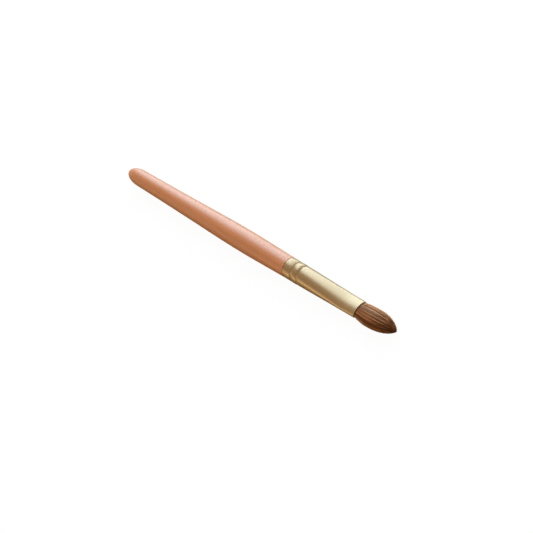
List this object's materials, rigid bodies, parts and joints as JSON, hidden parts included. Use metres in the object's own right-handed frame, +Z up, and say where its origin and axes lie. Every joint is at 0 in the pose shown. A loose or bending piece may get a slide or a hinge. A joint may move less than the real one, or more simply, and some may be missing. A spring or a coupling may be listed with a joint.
{
  "type": "lip brush",
  "caption": "Slim brush for colouring the lips: turned wooden handle, drawn metal ferrule pressed oval at its mouth, and a bound, flame-shaped tuft of hair.",
  "frame": {"origin": "bottom centre of the bounding box: under the middle of the brush's length, on the plane that the belly of the handle rests on", "axes": "+X along the brush towards the tip of the hair, +Z up, out of the broad side of the flattened ferrule"},
  "size_m": [0.1272, 0.0078, 0.0077],
  "materials": {
    "handle_lacquer": "tinted satin lacquer",
    "ferrule_metal": "satin",
    "set_resin": "cast",
    "binding_thread": "waxed thread",
    "hair": "dressed hair"
  },
  "bodies": {
    "root": {"handle": "handle_lacquer", "ferrule": "ferrule_metal", "resin_plug": "set_resin", "root_binding": "binding_thread", "hair_tuft": "hair"}
  },
  "joints": []
}
